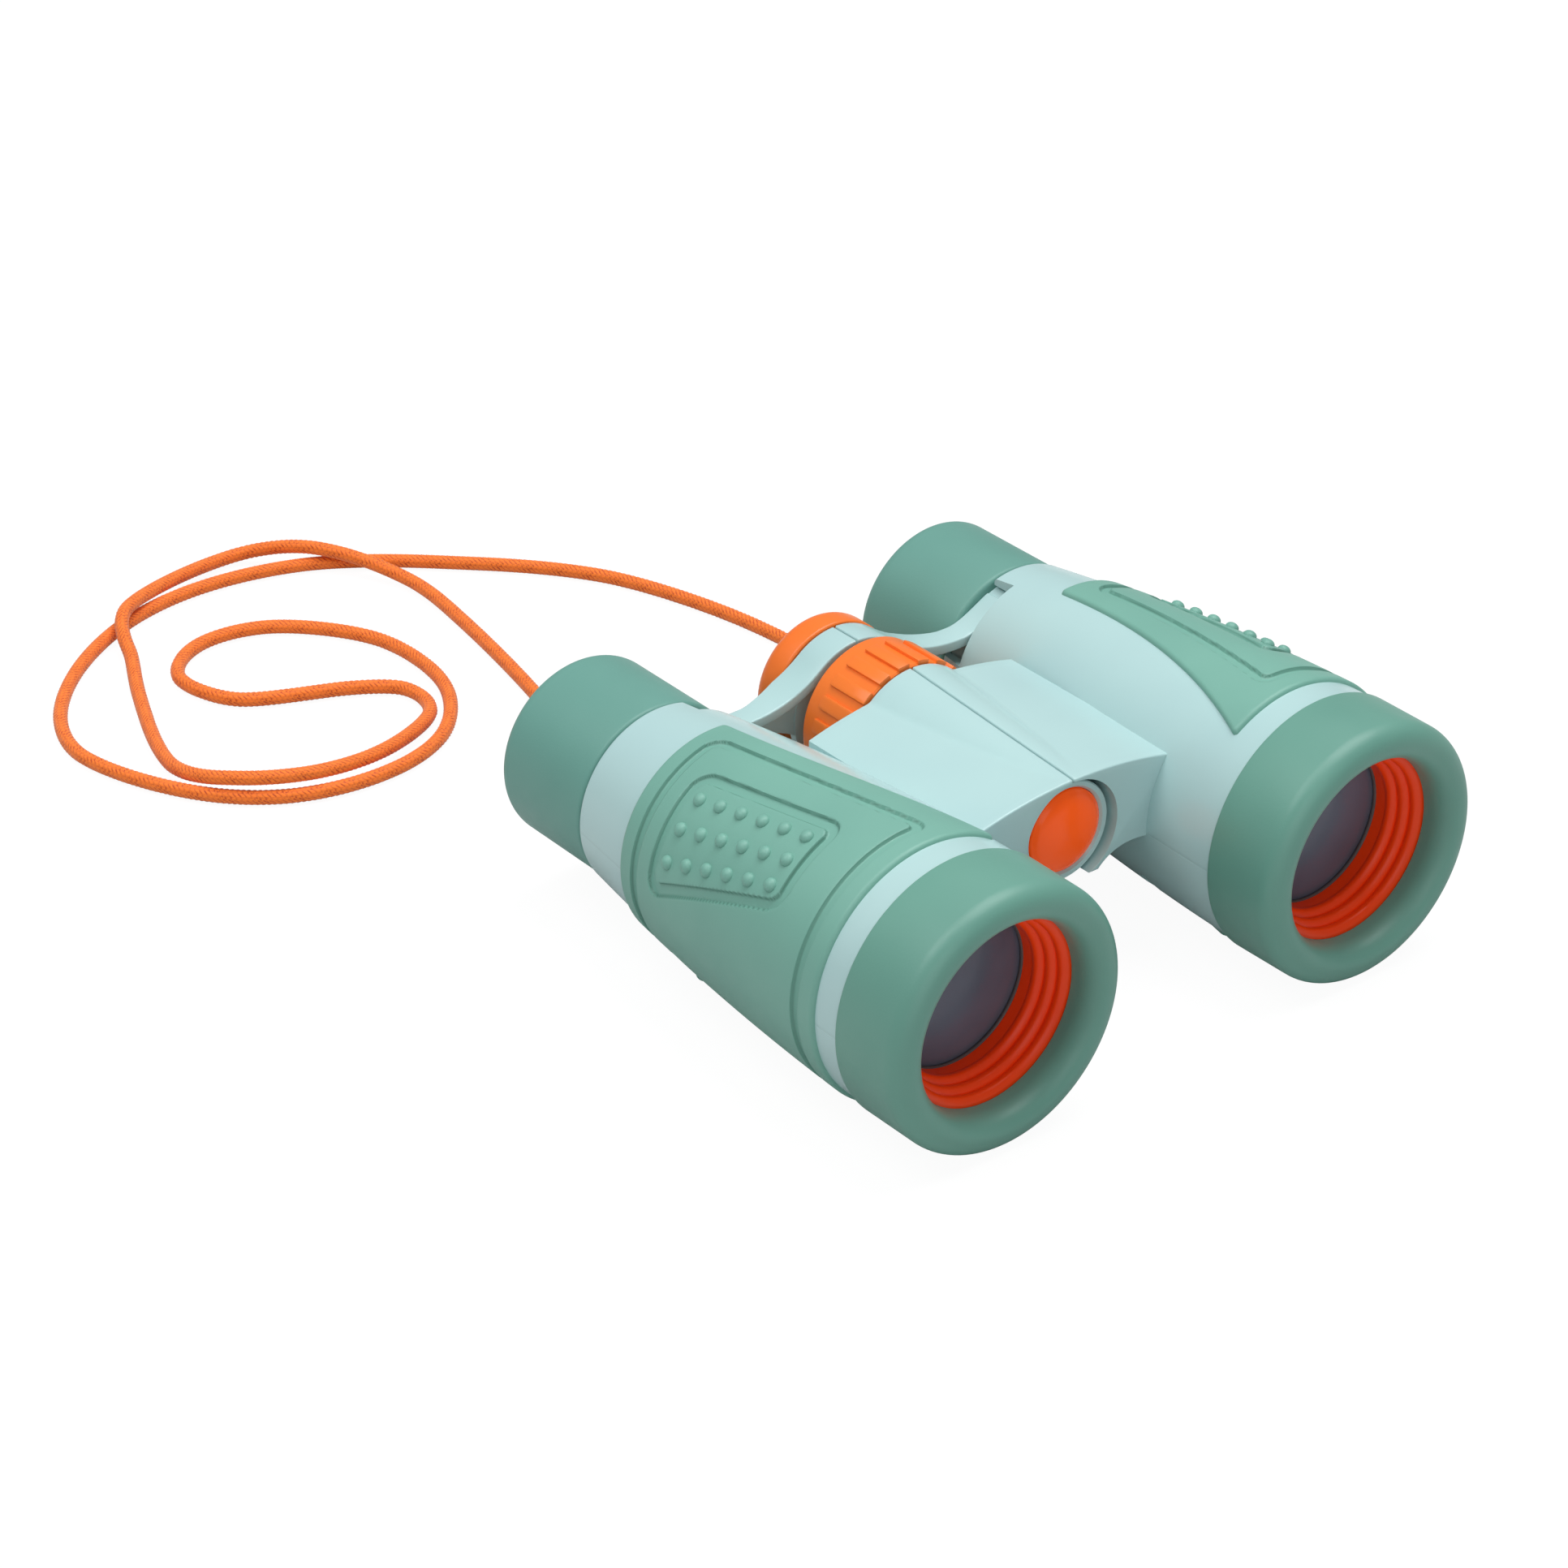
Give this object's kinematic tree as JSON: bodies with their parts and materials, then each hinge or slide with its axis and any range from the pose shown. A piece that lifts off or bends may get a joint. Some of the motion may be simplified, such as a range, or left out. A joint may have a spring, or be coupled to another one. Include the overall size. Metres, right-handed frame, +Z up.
{
  "type": "toy binoculars",
  "caption": "Toy binoculars with folding barrels, a ribbed centre focus wheel that drives both eyepieces, soft grips and rings, and a braided neck cord.",
  "frame": {"origin": "on the table, under the middle of the two barrels", "axes": "+X to the user's right, +Y the way the user looks, +Z up"},
  "size_m": [0.1452, 0.2311, 0.0446],
  "materials": {
    "mint_plastic": "glossy moulded plastic",
    "sage_rubber": "satin soft plastic",
    "orange_plastic": "satin moulded plastic",
    "deep_orange_plastic": "glossy moulded plastic",
    "grey_rubber": "matte",
    "lens": "polished clear plastic, grey in the dark barrel",
    "steel": "bright steel",
    "orange_cord": "braided polyester"
  },
  "bodies": {
    "right_barrel": {"right_upper_shell": "mint_plastic", "right_lower_shell": "mint_plastic", "right_grip": "sage_rubber", "right_objective_ring": "sage_rubber", "right_lens_ring": "deep_orange_plastic", "right_lens_gasket": "grey_rubber", "right_objective_lens": "lens", "right_shell_screws": "steel", "hinge_pin": "steel", "front_cap": "orange_plastic", "neck_cord": "orange_cord", "right_cord_knot": "orange_cord"},
    "left_barrel": {"left_upper_shell": "mint_plastic", "left_lower_shell": "mint_plastic", "left_grip": "sage_rubber", "left_objective_ring": "sage_rubber", "left_lens_ring": "deep_orange_plastic", "left_lens_gasket": "grey_rubber", "left_objective_lens": "lens", "left_shell_screws": "steel", "left_cord_knot": "orange_cord"},
    "focus_drive": {"focus_wheel": "orange_plastic", "wheel_clip": "steel"},
    "right_ocular": {"right_eyepiece_tube": "mint_plastic", "right_ocular_lens": "lens", "right_eyecup": "sage_rubber", "right_rear_arm": "mint_plastic", "focus_spindle": "steel", "rear_cap": "orange_plastic"},
    "left_ocular": {"left_eyepiece_tube": "mint_plastic", "left_ocular_lens": "lens", "left_eyecup": "sage_rubber", "left_rear_arm": "mint_plastic"}
  },
  "joints": [
    {"name": "fold", "type": "hinge", "parent": "right_barrel", "child": "left_barrel", "pos_m": [0, 0, 0.0272], "axis": [0, -1, 0], "range_deg": [0, 50], "deforming": ["neck_cord"]},
    {"name": "focus_turn", "type": "hinge", "parent": "right_barrel", "child": "focus_drive", "pos_m": [0, -0.02, 0.0272], "axis": [0, -1, 0], "range_deg": [0, 360]},
    {"name": "right_ocular_slide", "type": "slide", "parent": "right_barrel", "child": "right_ocular", "axis": [0, -1, 0], "range_m": [0, 0.003]},
    {"name": "left_ocular_slide", "type": "slide", "parent": "left_barrel", "child": "left_ocular", "axis": [0, -1, 0], "range_m": [0, 0.003]}
  ],
  "couplings": [
    {"joint": "focus_turn", "follows": "right_ocular_slide", "rad_per_m": 2094},
    {"joint": "left_ocular_slide", "follows": "right_ocular_slide", "ratio": 1}
  ]
}
